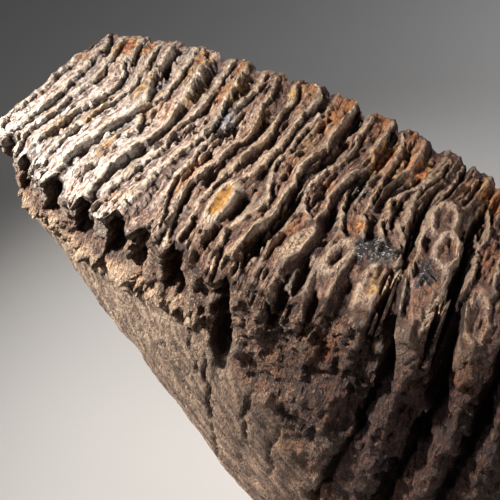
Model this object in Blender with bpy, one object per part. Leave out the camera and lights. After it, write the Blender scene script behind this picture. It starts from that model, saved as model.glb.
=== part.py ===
"""Fossil mammoth molar: one solid, standing on its flat broken roots with the chewing surface up.

The tooth is a row of thin upright plates, grown together. +X runs from the worn front end to the
unworn back end, +Y is the far flank and +Z points to the chewing surface. The solid is a box
lattice whose rows are the enamel ridges and the valleys between them: each row is one upright
slice of the tooth, and every point of the lattice is moved to its place by the functions below.
The origin is the middle of the tooth's extent, on the face that it stands on.
"""

import bmesh
import bpy
import numpy as np

NAME = "mammoth_tooth"
MM = 0.001

# ---- driving dimensions, in millimetres, in the chewing frame ------------------------------------
# The chewing frame has x = 0 at the first whole ridge, y = 0 near the near front corner and z = 0 on
# the crests of the ridges.
CROWN_HEIGHT = 112.0          # from the crests down to the broken roots
MIDDLE_X, MIDDLE_Y = 94.74, 17.22  # middle of the whole tooth in the chewing frame

# Enamel ridges: x where each one crosses these five lines, from the far flank to the near one.
CROSSINGS_Y = (55.0, 38.0, 22.0, 6.0, -10.0)
RIDGES = (
    (-3.5, -6.0, -6.0, -6.5, -5.0),
    (-1.0, 0.0, 0.5, -1.0, -1.5),
    (2.5, 6.0, 4.5, 3.0, 5.0),
    (8.5, 13.0, 10.0, 8.0, 9.0),
    (15.0, 17.8, 15.0, 13.5, 14.0),
    (19.5, 22.0, 23.0, 19.0, 19.0),
    (26.5, 28.5, 28.5, 25.0, 26.0),
    (31.5, 34.0, 35.5, 31.2, 31.0),
    (39.5, 41.0, 38.5, 37.0, 35.5),
    (44.0, 46.0, 46.5, 43.0, 41.0),
    (51.0, 50.0, 49.5, 48.3, 50.0),
    (55.0, 57.0, 56.0, 52.8, 54.0),
    (61.0, 62.0, 60.5, 58.5, 59.0),
    (68.0, 67.5, 67.0, 64.5, 63.5),
    (73.0, 72.5, 70.5, 71.0, 68.0),
    (79.5, 78.0, 75.5, 75.5, 72.5),
    (85.5, 84.5, 81.5, 80.0, 79.0),
    (91.0, 90.5, 87.0, 86.0, 83.5),
    (95.5, 95.8, 92.5, 91.5, 90.5),
    (101.0, 101.0, 97.0, 96.5, 96.0),
    (108.0, 107.0, 101.5, 101.5, 101.5),
    (111.5, 110.0, 105.5, 106.0, 105.8),
    (116.5, 114.5, 111.0, 110.5, 111.0),
    (121.0, 119.5, 116.5, 118.5, 118.0),
    (127.5, 126.0, 124.0, 123.5, 123.5),
    (132.0, 131.0, 129.0, 128.5, 128.5),
)
UNWORN_PLATES = 5             # plates behind the worn ones, still covered
UNWORN_PITCH = 12.4           # from one unworn plate to the next
LAST_ROW = 196.0              # back end of the tooth

# Outlines along the length: (x, value).
NEAR_EDGE = ((-7, 5), (0, 0), (8, -6), (20, -10.5), (40, -15.5), (60, -19), (85, -20.5),
             (105, -17), (125, -14), (150, -10), (175, -4), (190, 3), (198, 8))
FAR_EDGE = ((-7, 60), (10, 62.5), (28, 64), (50, 60.5), (70, 58.5), (92, 53.5), (110, 47.5),
            (125, 42.5), (150, 37), (175, 31), (190, 24), (198, 19))
NEAR_SWELL = ((-7, 1), (10, 2), (40, 6), (60, 8), (85, 9.5), (110, 12), (135, 12), (170, 9), (198, 3))
FAR_SWELL = ((-7, 0), (30, 1), (70, 3), (110, 5), (140, 6), (170, 5), (198, 2))
TOP_DROP = ((-7, 0.5), (5, 0), (130, 0), (140, 1.2), (152, 4.5), (164, 11), (175, 21), (184, 35),
            (191, 53), (198, 82))
UNDERSIDE = ((-7, 5.5), (0, 9), (8, 14.5), (20, 23), (36, 34), (50, 45), (62, 56), (72, 68),
             (80, 81), (86, 95), (90, 106), (93, 112), (200, 112))

SHOULDER = ((-7, 1.5), (70, 2.5), (95, 7), (120, 9), (150, 12), (198, 10))   # rounding of the near edge

# Chewing surface.
WORN_END = (124.0, 140.0)     # x over which the worn surface gives way to the unworn plates
GROOVE_DEPTH = 4.6            # between plates
BASIN_DEPTH = 2.6             # inside a plate, where the dentine has worn away
CREST_WAVE = 0.6              # rise and fall along a crest
FAR_STEP = 0.8                # the far edge is lower by this much
TIP_HEIGHT = 3.0              # the unworn plates stand up this far
TIP_GAP = 5.0                 # and the gaps between them are this deep
FINGER_DEPTH = 1.8            # dips between the finger-like tips of an unworn plate
FINGER_PITCH = 12.0
FIRST_FINGER_Y = 14.0

# Flanks.
NEAR_FLUTES = ((-7, 0), (62, 0), (80, 0.55), (103, 0.6), (110, 1.0), (198, 1.0))   # share of the depth
FAR_FLUTES = ((-7, 0.55), (30, 0.55), (50, 0.78), (70, 1.0), (198, 1.0))
FLUTE_DEPTH = 3.2             # grooves between plates down the flanks
FLUTE_END = (70.0, 100.0)     # depth over which they die out
PLATE_HOLLOW = 0.25           # hollow down the middle of a plate, as a share of a flute
ALCOVE_DEPTH = 5.0            # hollows under the near edge, between the ends of the front plates
ALCOVE_TOP, ALCOVE_FOOT = (0.5, 2.5), (7.5, 10.5)
RIM_STAND_OUT = 1.6           # crumbly rim below the alcoves
RIM_TOP, RIM_FOOT = (7.5, 11.0), (13.0, 18.0)
RIM_FRONT, RIM_BACK = (4.0, 14.0), (64.0, 76.0)
SWELL_TOP, SWELL_FOOT = (-1.0, 34.0), (62.0, 108.0)    # depths over which the flanks swell and draw in
SWELL_LEFT = 0.45             # share of the swell that is left at the roots
EDGE_PULL = 0.6               # how far the rounded near edge draws in, as a share of the shoulder
EDGE_DROP = 0.35              # and how far it drops

# Deep open gaps between plates on the near flank: (groove after ridge, depth, how far down it runs).
DEEP_GAPS = ((7, 3.0, 10.0), (13, 3.5, 12.0), (15, 6.0, 46.0), (21, 8.5, 95.0), (23, 9.0, 95.0))
GAP_INLAND = (6.0, 30.0)      # they grow shallow this far in from the near edge
GAP_ON_TOP = 0.8              # share of their depth on the chewing surface

# Roots and underside.
BOTTOM_ROUND = 19.0           # rounding where the flanks turn into the underside
ROUND_OF_HEIGHT = 0.42        # and its largest share of the height
ROUND_OF_WIDTH = 0.36         # and of the width
ROOT_FOOT = 8.0               # the front root spreads forward this far at its broken end
FOOT_TOP, FOOT_BACK = (84.0, 110.0), (92.0, 150.0)
RIB_HEIGHT = 1.6              # low ribs along the slanted underside of the front
RIB_PITCH = 15.0
RIB_END, RIB_INLAND = (84.0, 96.0), (2.0, 10.0)
STANDING_FACE = ((96.0, 101.0), (188.0, 192.0))   # x over which the flat face starts and ends
# Hollows in the standing face: (x, y, half length, half width, depth).
ROOT_HOLLOWS = ((116.0, 0.0, 9.0, 9.0, 4.0), (118.0, 28.0, 10.0, 8.0, 4.5),
                (158.0, 14.0, 9.0, 9.0, 3.5))

# Lattice counts.
ACROSS = 15                   # cells across the chewing surface
DOWN = 11                     # cells down the flanks
UPPER_ROWS = 4                # of these, the rows that stay close to the edge
UPPER_STEP = 3.6              # and how far apart they are


# ---- curves --------------------------------------------------------------------------------------
def smooth_curve(at, points):
    """A smooth curve through points (place, value), read at one place or many."""
    place = np.array([p[0] for p in points], float)
    value = np.array([p[1] for p in points], float)
    slope = np.gradient(value, place)
    at = np.clip(np.asarray(at, float), place[0], place[-1])
    left = np.clip(np.searchsorted(place, at, side="right") - 1, 0, len(place) - 2)
    width = place[left + 1] - place[left]
    t = (at - place[left]) / width
    return ((2 * t**3 - 3 * t**2 + 1) * value[left] + (t**3 - 2 * t**2 + t) * width * slope[left]
            + (3 * t**2 - 2 * t**3) * value[left + 1] + (t**3 - t**2) * width * slope[left + 1])


def straight_curve(at, points):
    """The same with straight runs between the points."""
    return np.interp(at, [p[0] for p in points], [p[1] for p in points])


def fade(value, start, end):
    """0 before start, 1 after end, and smooth between."""
    t = np.clip((value - start) / (end - start), 0.0, 1.0)
    return t * t * (3 - 2 * t)


def ridge_x(ridge, y):
    """Where a ridge is at y."""
    points = sorted(zip(CROSSINGS_Y, ridge))
    return smooth_curve(y, points)


# ---- rows: the slices of the lattice -------------------------------------------------------------
def build_rows():
    """Every row as (line, kind, groove number): the line gives x at any y."""
    rows = []
    for number, ridge in enumerate(RIDGES):
        rows.append((lambda y, r=ridge: ridge_x(r, y), "crest", -1))
        if number + 1 < len(RIDGES):
            after = RIDGES[number + 1]
            kind = "groove" if number % 2 else "basin"
            rows.append((lambda y, a=ridge, b=after: (ridge_x(a, y) + ridge_x(b, y)) / 2, kind, number))
    last = RIDGES[-1]
    quarter = UNWORN_PITCH / 4
    start = max(last)
    steps = UNWORN_PLATES * 4
    for step in range(1, steps + 1):
        share = step / steps
        kind = ("flank", "gap", "flank", "tip")[(step - 1) % 4]

        def line(y, s=share, k=step):
            own = ridge_x(last, y) + k * quarter
            squeezed = start + (LAST_ROW - start) * s
            return own + (squeezed - own) * s**2

        rows.append((line, kind, -1))
    return rows


# ---- shape of one slice --------------------------------------------------------------------------
def finger_tips(y):
    """The finger-like tips across an unworn plate: 1 on a tip, 0 between two."""
    return 0.5 + 0.5 * np.cos((y - FIRST_FINGER_Y) * 2 * np.pi / FINGER_PITCH)


def top_relief(kind, groove, x, y, from_near):
    """How far a point of the chewing surface lies below the crests."""
    if kind == "basin":
        return BASIN_DEPTH * (1 - fade(x, *WORN_END))
    if kind == "groove":
        deep = sum(depth for number, depth, _ in DEEP_GAPS if number == groove)
        return GROOVE_DEPTH + GAP_ON_TOP * deep * (1 - fade(from_near, *GAP_INLAND))
    if kind == "gap":
        return TIP_GAP
    if kind == "flank":
        return TIP_HEIGHT / 2
    if kind == "tip":
        return FINGER_DEPTH * (1 - finger_tips(y))
    return CREST_WAVE * np.sin(y * 0.35 + x * 0.6) ** 2


def flank_relief(kind, groove, x, down, near):
    """How far a point of a flank lies inside the swell of the plates."""
    flute = FLUTE_DEPTH * straight_curve(x, NEAR_FLUTES if near else FAR_FLUTES)
    flute *= 1 - fade(down, *FLUTE_END)
    relief = 0.0
    if kind in ("groove", "gap"):
        relief = flute * fade(down, -2, 3)
        if near:
            alcove = fade(down, *ALCOVE_TOP) * (1 - fade(down, *ALCOVE_FOOT))
            relief += ALCOVE_DEPTH * alcove * (1 - fade(x, *RIM_BACK))
            for number, depth, reach in DEEP_GAPS:
                if number == groove:
                    relief += depth * (1 - fade(down, reach * 0.6, reach))
    elif kind in ("basin", "flank"):
        relief = PLATE_HOLLOW * flute
    if near:
        rim = fade(down, *RIM_TOP) * (1 - fade(down, *RIM_FOOT))
        relief -= RIM_STAND_OUT * rim * fade(x, *RIM_FRONT) * (1 - fade(x, *RIM_BACK))
    return relief


def depth_below_crests(level, height):
    """Depth of a lattice level, where the tooth is this high: close rows first, then even ones."""
    step = min(UPPER_STEP, height / DOWN)
    from_top = DOWN - level
    if from_top <= UPPER_ROWS:
        return from_top * step
    share = (from_top - UPPER_ROWS) / (DOWN - UPPER_ROWS)
    return UPPER_ROWS * step + (height - UPPER_ROWS * step) * share


def flank_places(kind, groove, x, down, height):
    """y of the near and the far flank at x and this depth."""
    swell = fade(down, *SWELL_TOP) * (1 - (1 - SWELL_LEFT) * fade(down, *SWELL_FOOT))
    near = float(smooth_curve(x, NEAR_EDGE)) - float(smooth_curve(x, NEAR_SWELL)) * swell
    far = float(smooth_curve(x, FAR_EDGE)) + float(smooth_curve(x, FAR_SWELL)) * swell
    radius = min(BOTTOM_ROUND, ROUND_OF_HEIGHT * height, ROUND_OF_WIDTH * (far - near))
    left = max(0.0, radius - (height - down))
    rounding = radius - np.sqrt(max(radius**2 - left**2, 0.0))
    shoulder = float(smooth_curve(x, SHOULDER))
    edge = EDGE_PULL * shoulder * (1 - np.sqrt(1 - (1 - min(down / shoulder, 1.0)) ** 2))
    near += rounding + edge + flank_relief(kind, groove, x, down, True)
    far -= rounding + edge / 2 + flank_relief(kind, groove, x, down, False)
    return near, far


def underside_rise(x, y, in_from_edge):
    """Hollows and ribs of the underside."""
    (flat_start, flat_full), (flat_left, flat_end) = STANDING_FACE
    standing = fade(x, flat_start, flat_full) * (1 - fade(x, flat_left, flat_end))
    ribs = RIB_HEIGHT * (0.5 - 0.5 * np.cos(y * 2 * np.pi / RIB_PITCH))
    ribs *= (1 - fade(x, *RIB_END)) * fade(in_from_edge, *RIB_INLAND)
    return root_hollow(x, y) * standing + ribs


def slice_point(line, kind, groove, across, level):
    """Chewing-frame position of a lattice point: across 0 (near) to 1, level 0 (bottom) to DOWN."""
    y = sum(CROSSINGS_Y) / len(CROSSINGS_Y)
    x = float(line(y))
    for _ in range(3):
        drop = float(smooth_curve(x, TOP_DROP))
        bottom = float(straight_curve(x, UNDERSIDE))
        height = bottom - drop
        down = depth_below_crests(level, height)
        near, far = flank_places(kind, groove, x, down, height)
        y = near + (far - near) * across
        x = float(line(y))
    shoulder = float(smooth_curve(x, SHOULDER))
    relief = float(top_relief(kind, groove, x, y, y - near))
    z_top = -drop - relief * (0.5 + 0.5 * fade(far - y, 0, 8))
    z_top -= EDGE_DROP * shoulder * (1 - fade(y - near, 0, shoulder * 1.6))
    z_top -= FAR_STEP * (1 - fade(far - y, 0, 3))
    z_bottom = -bottom
    if level == 0:
        z_bottom += underside_rise(x, y, min(y - near, far - y))
    share = 1 - down / height
    foot = ROOT_FOOT * fade(down, *FOOT_TOP) * (1 - fade(x, *FOOT_BACK))
    return x - foot, y, z_bottom + (z_top - z_bottom) * share


def root_hollow(x, y):
    """Shallow hollows of the pulp between the broken roots, in the face it stands on."""
    depth = 0.0
    for centre_x, centre_y, half_x, half_y, deep in ROOT_HOLLOWS:
        far_out = ((x - centre_x) / half_x) ** 2 + ((y - centre_y) / half_y) ** 2
        depth = max(depth, deep * (1 - far_out))
    return depth


# ---- the solid -----------------------------------------------------------------------------------
def lattice_box(rows):
    """A box of one cell for each step between rows, across and down, as a bmesh."""
    bm = bmesh.new()
    bmesh.ops.create_cube(bm, size=1.0)
    for axis, cells in ((0, rows - 1), (1, ACROSS), (2, DOWN)):
        edges = [e for e in bm.edges if abs((e.verts[0].co - e.verts[1].co)[axis]) > 0.5]
        bmesh.ops.subdivide_edges(bm, edges=edges, cuts=cells - 1, use_grid_fill=True)
    return bm


def build_tooth():
    """The tooth as one closed mesh object."""
    rows = build_rows()
    bm = lattice_box(len(rows))
    for vert in bm.verts:
        row = round((vert.co.x + 0.5) * (len(rows) - 1))
        across = vert.co.y + 0.5
        level = round((vert.co.z + 0.5) * DOWN)
        x, y, z = slice_point(*rows[row], across, level)
        vert.co = ((x - MIDDLE_X) * MM, (y - MIDDLE_Y) * MM, (z + CROWN_HEIGHT) * MM)
    bmesh.ops.triangulate(bm, faces=bm.faces, quad_method="SHORT_EDGE")
    bmesh.ops.recalc_face_normals(bm, faces=bm.faces)
    mesh = bpy.data.meshes.new(NAME)
    bm.to_mesh(mesh)
    bm.free()
    mesh.set_sharp_from_angle(angle=0.6)
    return bpy.data.objects.new(NAME, mesh)


def fossil_material():
    """Brown mineral-stained enamel, dentine and cementum."""
    material = bpy.data.materials.new("fossil_tooth")
    material.use_nodes = True
    shader = material.node_tree.nodes["Principled BSDF"]
    shader.inputs["Base Color"].default_value = (0.24, 0.17, 0.12, 1.0)
    shader.inputs["Roughness"].default_value = 0.7
    shader.inputs["Metallic"].default_value = 0.0
    return material


def main():
    for thing in list(bpy.data.objects):
        bpy.data.objects.remove(thing)
    collection = bpy.data.collections.new("fossil_mammoth_tooth")
    bpy.context.scene.collection.children.link(collection)
    tooth = build_tooth()
    tooth.data.materials.append(fossil_material())
    collection.objects.link(tooth)


main()
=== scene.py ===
"""Looks of the fossil mammoth molar: the whole tooth as one finely modelled mesh, with its worn
enamel crests, dentine basins, cementum, alcoves, crevices and fibrous root flank.

Lengths are millimetres in the chewing frame (x = 0 at the first whole ridge, y = 0 near the near
front corner, z = 0 on the crests) until a mesh is placed in the part's own frame, in metres.
"""

import itertools
import math
from types import SimpleNamespace

import bpy
import numpy as np
from mathutils import Matrix, Vector


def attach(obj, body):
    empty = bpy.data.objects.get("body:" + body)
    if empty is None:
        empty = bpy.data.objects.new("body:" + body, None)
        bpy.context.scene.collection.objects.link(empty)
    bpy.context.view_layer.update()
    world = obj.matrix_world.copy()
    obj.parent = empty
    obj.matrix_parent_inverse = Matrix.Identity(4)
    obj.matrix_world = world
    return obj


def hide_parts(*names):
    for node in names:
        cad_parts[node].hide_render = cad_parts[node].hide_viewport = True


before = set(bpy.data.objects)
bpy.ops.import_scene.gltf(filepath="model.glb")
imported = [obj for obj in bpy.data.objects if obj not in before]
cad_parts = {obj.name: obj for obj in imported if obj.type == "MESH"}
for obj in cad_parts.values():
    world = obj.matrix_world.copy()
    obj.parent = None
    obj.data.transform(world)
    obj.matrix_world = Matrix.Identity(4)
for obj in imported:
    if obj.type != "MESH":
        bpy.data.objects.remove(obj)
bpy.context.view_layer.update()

MM = 0.001
CROWN_HEIGHT = 112.0  # from the crests down to the face it stands on
MIDDLE_X, MIDDLE_Y = 94.74, 17.22  # middle of the whole tooth in the chewing frame

# ---- the tooth's outlines, as in the part ----
# Enamel ridges: x where each one crosses these five lines, from the far flank to the near one.
CROSSINGS_Y = (55, 38, 22, 6, -10)
RIDGES = (
    (-3.5, -6, -6, -6.5, -5),
    (-1, 0, 0.5, -1, -1.5),
    (2.5, 6, 4.5, 3, 5),
    (8.5, 13, 10, 8, 9),
    (15, 17.8, 15, 13.5, 14),
    (19.5, 22, 23, 19, 19),
    (26.5, 28.5, 28.5, 25, 26),
    (31.5, 34, 35.5, 31.2, 31),
    (39.5, 41, 38.5, 37, 35.5),
    (44, 46, 46.5, 43, 41),
    (51, 50, 49.5, 48.3, 50),
    (55, 57, 56, 52.8, 54),
    (61, 62, 60.5, 58.5, 59),
    (68, 67.5, 67, 64.5, 63.5),
    (73, 72.5, 70.5, 71, 68),
    (79.5, 78, 75.5, 75.5, 72.5),
    (85.5, 84.5, 81.5, 80, 79),
    (91, 90.5, 87, 86, 83.5),
    (95.5, 95.8, 92.5, 91.5, 90.5),
    (101, 101, 97, 96.5, 96),
    (108, 107, 101.5, 101.5, 101.5),
    (111.5, 110, 105.5, 106, 105.8),
    (116.5, 114.5, 111, 110.5, 111),
    (121, 119.5, 116.5, 118.5, 118),
    (127.5, 126, 124, 123.5, 123.5),
    (132, 131, 129, 128.5, 128.5),
)
UNWORN_PLATES = 5  # plates behind the worn ones, still covered
UNWORN_PITCH = 12.4  # from one unworn plate to the next
LAST_ROW = 196.0  # back end of the tooth

# Outlines along the length: (x, value).
NEAR_EDGE = ((-7, 5), (0, 0), (8, -6), (20, -10.5), (40, -15.5), (60, -19), (85, -20.5),
             (105, -17), (125, -14), (150, -10), (175, -4), (190, 3), (198, 8))
FAR_EDGE = ((-7, 60), (10, 62.5), (28, 64), (50, 60.5), (70, 58.5), (92, 53.5), (110, 47.5),
            (125, 42.5), (150, 37), (175, 31), (190, 24), (198, 19))
NEAR_SWELL = ((-7, 1), (10, 2), (40, 6), (60, 8), (85, 9.5), (110, 12), (135, 12), (170, 9), (198, 3))
FAR_SWELL = ((-7, 0), (30, 1), (70, 3), (110, 5), (140, 6), (170, 5), (198, 2))
TOP_DROP = ((-7, 0.5), (5, 0), (130, 0), (140, 1.2), (152, 4.5), (164, 11), (175, 21), (184, 35),
            (191, 53), (198, 82))
UNDERSIDE = ((-7, 5.5), (0, 9), (8, 14.5), (20, 23), (36, 34), (50, 45), (62, 56), (72, 68),
             (80, 81), (86, 95), (90, 106), (93, 112), (200, 112))
SHOULDER = ((-7, 1.5), (70, 2.5), (95, 7), (120, 9), (150, 12), (198, 10))  # rounding of the near edge
EDGE_PULL, EDGE_DROP = 0.6, 0.35  # how far that edge draws in and drops, as shares of the shoulder
FAR_STEP = 0.8  # the far edge is lower by this much
SWELL_TOP, SWELL_FOOT = (-1, 34), (62, 108)  # depths over which the flanks swell and draw in
SWELL_LOSS = 0.55  # share of the swell that is lost at the roots
BOTTOM_ROUND = 19.0  # rounding where the flanks turn into the underside
ROUND_OF_HEIGHT = 0.42  # and its largest share of the height
ROUND_OF_WIDTH = 0.36  # and of the width
ROOT_FOOT = 8.0  # the front root spreads forward this far at its broken end
FOOT_TOP, FOOT_BACK = (84, 110), (92, 150)
RIB_HEIGHT, RIB_WAVE = 1.6, 0.42  # low ribs under the slanted front, and their turn per millimetre
RIB_END, RIB_INLAND = (84, 96), (2, 10)
STANDING_FACE = ((96, 101), (188, 192))  # x over which the flat face starts and ends
# Hollows in the standing face: (x, y, half length, half width, depth).
ROOT_HOLLOWS = ((116, 0, 9, 9, 4), (118, 28, 10, 8, 4.5), (158, 14, 9, 9, 3.5))

# ---- lattice: cells along the tooth, across it and down its flanks ----
CELL = 0.5
CELLS_ACROSS = 160
CELLS_DOWN = 100
FINE_ROWS, FINE_STEP = 36, 0.55  # the first steps down are this small
COUNTING_Y = 20.0  # the line along which the rows are counted out
MEAN_ROW = 5.2  # usual distance between two row lines
RUN_PER_ROW = 6.2  # and the one that the grain of the worn surface is measured with
FACE_LIMIT = 196000  # triangles that are kept
MASKS = ("enamel", "dentine", "amber", "fibre", "pale", "hollow", "rust", "grains", "bleach", "soil",
         "crust")

# ---- worn surface ----
WORN_END = (126, 142)  # x over which the worn surface gives way to the unworn plates
GROOVE_DEPTH, BASIN_DEPTH = 1.9, 1.1  # between plates, and inside one where the dentine has worn away
SPLIT_DEPTH = 1.25  # cracks behind the crests
CLEFT_DEPTH = 0.85  # clefts that wander through the dentine and the cement
TIP_DROP, TIP_HEIGHT = -5.5, 5.0  # gaps between the unworn plates, and the plates above them
FIRST_FINGER_Y, FINGER_PITCH = 14, 11.5  # finger-like tips of an unworn plate
# Crests of enamel: (level, half width, points (x, y) from the far flank to the near one).
CRESTS = (
    (-0.5, 0.8, ((-5.2, 41), (-5.2, 33), (-5.4, 26), (-5.8, 18), (-6.5, 11), (-5, 5), (-3, 3))),
    (0.1, 0.9, ((-3, 58), (-0.5, 51), (-1.2, 47), (-0.6, 42), (0.2, 36), (0, 30), (0.6, 24), (0, 16),
        (-0.5, 9), (-2, 3))),
    (0, 0.8, ((2, 58), (4, 50), (4.4, 44), (6.2, 38), (5.4, 32), (4.4, 26), (4.4, 20), (3.4, 12),
        (2.4, 7), (4, 1), (6, -4))),
    (0, 0.8, ((8, 58.5), (9.4, 50), (10.2, 44), (12.6, 40), (13.2, 33), (12.2, 27), (10, 22), (9, 15),
        (8, 8), (7.2, 2), (8.5, -6))),
    (-0.3, 0.7, ((14.6, 58), (15.6, 50), (16.2, 43), (18.2, 37), (17.4, 31), (16.4, 27), (15.4, 23),
        (14.2, 17), (13.8, 9), (13, 3), (14.5, -4))),
    (0.4, 1.1, ((18.5, 60), (20.2, 53), (20.6, 46), (21.4, 40), (24, 34), (25.4, 29), (24, 24),
        (22, 19), (20.8, 13), (19, 7), (19, 0), (18.6, -9))),
    (0, 0.8, ((26, 61), (27.2, 53), (28, 45), (28.6, 38), (27.6, 32), (26.4, 27), (28.4, 22),
        (29.8, 18))),
    (0.2, 1, ((28, 61), (31.5, 55), (32.6, 50), (33.2, 44), (34.2, 38), (34.8, 31), (35.6, 25),
        (35, 19), (33, 14), (31.4, 8), (30.5, 2), (30.8, -5), (32, -10))),
    (0, 0.8, ((39, 60), (39.6, 50), (40.6, 41), (41, 34), (39.6, 28), (38.6, 22), (39.6, 15), (38, 8),
        (36.4, 2), (35.2, -5))),
    (0.1, 0.9, ((43, 61), (44.6, 52), (45, 45), (46, 37), (47.6, 30), (47, 24), (45, 18), (43.6, 10),
        (42.4, 3), (41.2, -5), (41, -13))), (-0.2, 0.8, ((50, 58), (51.4, 52), (51, 46), (49.6, 40))),
    (0, 0.8, ((49.2, 25), (48.2, 18), (49, 13), (48, 7), (49, 0), (51.5, -7), (53.5, -14))),
    (0, 0.8, ((54.5, 55.5), (56, 48), (56, 41), (57.8, 34), (58, 28), (56, 22), (55, 16), (53.4, 10),
        (52.4, 4), (52.6, -2), (54.5, -9), (57, -16))),
    (0.1, 0.8, ((61, 54), (63, 49), (62.2, 42), (62.4, 35), (63, 29), (60.6, 22), (59.6, 15),
        (58.4, 8), (57.4, 0), (58.6, -7), (59, -13), (58, -18))),
    (0.3, 0.9, ((66, 58), (69, 53), (68.6, 47), (67.6, 40), (67.6, 32), (67.4, 26), (66.4, 20),
        (65, 15), (63.6, 11))),
    (-0.2, 0.8, ((72, 45), (70.5, 36), (70, 28), (69, 20), (70.4, 13), (72.2, 8), (71.4, 3), (69, -3),
        (68, -8), (69, -14), (70.4, -20))),
    (0.2, 0.8, ((79.6, 52), (79, 45), (78, 38), (78.2, 31), (76, 26), (75.4, 20), (76.2, 14),
        (75.4, 8), (75.6, 2), (73.4, -4), (72, -10), (71, -17))),
    (-0.3, 0.7, ((85.6, 49), (84.6, 41), (85.2, 33), (83, 27), (80.5, 20), (79.6, 15), (81, 10),
        (84, 5.5))),
    (0.2, 0.8, ((91, 51), (91, 43), (90.2, 37), (91, 31), (88.2, 25), (87, 20), (86, 14), (86.6, 9),
        (84.6, 5.5))), (-0.1, 0.7, ((89, 18), (90, 12.5), (91, 8.5), (93, 4))),
    (0, 0.7, ((95, 47), (96.2, 40), (96, 32), (95.4, 25), (95.4, 18), (95.2, 12), (97.2, 8),
        (96, 4.5), (93.5, 3.5))), (-0.2, 0.7, ((101, 47), (101.6, 41), (101, 35))),
    (0, 0.7, ((109, 42), (108, 36), (106.4, 31), (104, 27), (101.4, 24), (99.6, 20), (100.6, 15),
        (100, 10), (102.6, 6))),
    (0, 0.7, ((105, 28), (104.6, 22), (105.2, 16), (104.6, 12), (106.6, 9), (105.4, 5), (103.6, 4))),
    (-0.4, 0.7, ((112.5, 41), (112, 34), (110.6, 28), (109.8, 22), (110, 17), (109.8, 12), (110.4, 6),
        (110.2, 0), (110.6, -6), (111.4, -13), (113.5, -19))),
    (-0.6, 0.7, ((117, 40), (116.5, 33), (115.6, 28))),
    (-0.6, 0.7, ((123, 38), (122, 30), (124, 22), (122.8, 14), (123.4, 6), (122.6, 1), (124, -5),
        (126, -11))),
    (-0.8, 0.8, ((129, 38), (128.5, 30), (129.5, 20), (128, 12), (129, 4), (128.6, -4))),
)
# Closed loops of enamel: (x, y, half width, half length, lean, level, depth of the basin in it).
LOOPS = (
    (62.6, 1.5, 2.1, 6.6, 0, 0.5, 0.8),
    (84.2, -3.6, 2, 6.8, -0.28, -0.1, 0.2),
    (94, -2, 1.9, 5.2, -0.25, -0.8, 0.9),
    (104.6, -3.6, 2.8, 7, -0.3, -0.7, 0.7),
    (113.2, 19.4, 2.8, 5.8, 0.05, 0.6, 0.9),
    (116.4, 9.8, 2.7, 5.2, 0, 0.8, 1.3),
    (118.6, -9.5, 1.9, 6.2, 0, -1.4, 0.4),
    (127.2, -3, 2.6, 6, 0.1, -1, 0.8),
)
# Hollows in the worn surface: (x, y, half width, half length, depth).
HOLLOWS = (
    (14.6, 27, 1.3, 3.2, 5), (2.2, 49, 1, 4, 2), (11.6, 47, 1.2, 4, 2.4), (15.6, 33.5, 0.8, 2.2, 1.8),
    (22.6, 51, 1.4, 5, 2.8), (23.6, 46, 1.7, 3.5, 3), (25.6, 38, 0.9, 2.4, 2.6),
    (36.2, 47, 1.7, 13, 2.6), (37, 29, 1.3, 7, 2.6), (22, 8, 0.45, 8, 2.4), (32.8, 3, 0.8, 8, 3.6),
    (34.8, 11.5, 1.4, 1.6, 2.4), (42, 23, 1.7, 3.6, 3), (47.4, 49, 1.3, 5, 2.6),
    (47, 42.5, 1.5, 3.4, 2.8), (42.6, 35.5, 0.9, 2.6, 2), (52.6, 28, 1.9, 5.5, 2.8),
    (51, 13, 1.2, 9, 2.8), (46.2, 7, 0.8, 3.2, 2), (45.2, -4, 0.7, 5, 2.2), (56.2, 10, 1.3, 4, 2.4),
    (54.2, -1, 0.8, 5, 2.6), (59.4, 35, 1.2, 4.4, 2.8), (64.6, 29, 1.2, 4.6, 2.2),
    (62.6, 19, 1.4, 5, 2.2), (66.8, 2, 1.3, 6.5, 3.6), (65.4, -10, 1, 4, 2.6),
    (75.2, 41, 1.2, 4.6, 2.4), (73, 22, 1, 5, 1.8), (78.2, 7, 1.6, 5, 3.4), (77.4, 0, 1.4, 3.4, 2.6),
    (75.6, -7, 1.6, 6.5, 4), (81.4, 46, 1.8, 6.5, 2.6), (82, 32, 1.8, 8, 3), (83.6, 16, 1.4, 5, 1.6),
    (91.6, 25, 1.2, 6, 1.6), (88.6, 8, 1.2, 3, 2.4), (93.8, -4, 1.4, 3.2, 1.6),
    (94.6, -17, 1.2, 3.6, 3), (85.4, -16, 1.2, 2.4, 2.6), (88.6, -9.5, 1.2, 5, 3),
    (4.4, 32, 0.5, 9, 1.6), (27, 4, 0.5, 8, 1.8), (12.6, 22, 0.5, 8, 1.5), (18.4, 46, 0.6, 7, 1.8),
    (102.2, 17, 1.2, 6, 2.6), (103, 30, 2.2, 4, 2.6), (107.6, 17, 1.2, 9, 3), (107.8, 4, 1.4, 7, 3.2),
    (108.8, -8, 1.8, 7, 4.2), (120.6, 21, 1.3, 10, 3.4), (120.4, 6, 1.6, 10, 4), (122, -8, 1.7, 7, 4.4),
    (5.8, 47, 0.8, 3.4, 1.2), (10.4, 9, 0.7, 4.4, 1.6), (8, 20, 0.7, 4.4, 1.2), (2, 22, 0.7, 5, 1.4),
    (30.6, 30, 0.8, 5, 1.2), (67.6, 46.5, 0.6, 2.5, 0.8), (99, 39, 1, 5, 1.6), (93.8, 38, 1, 5, 1.2),
    (1.6, 2, 1.6, 3.4, 3.6),
)

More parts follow.
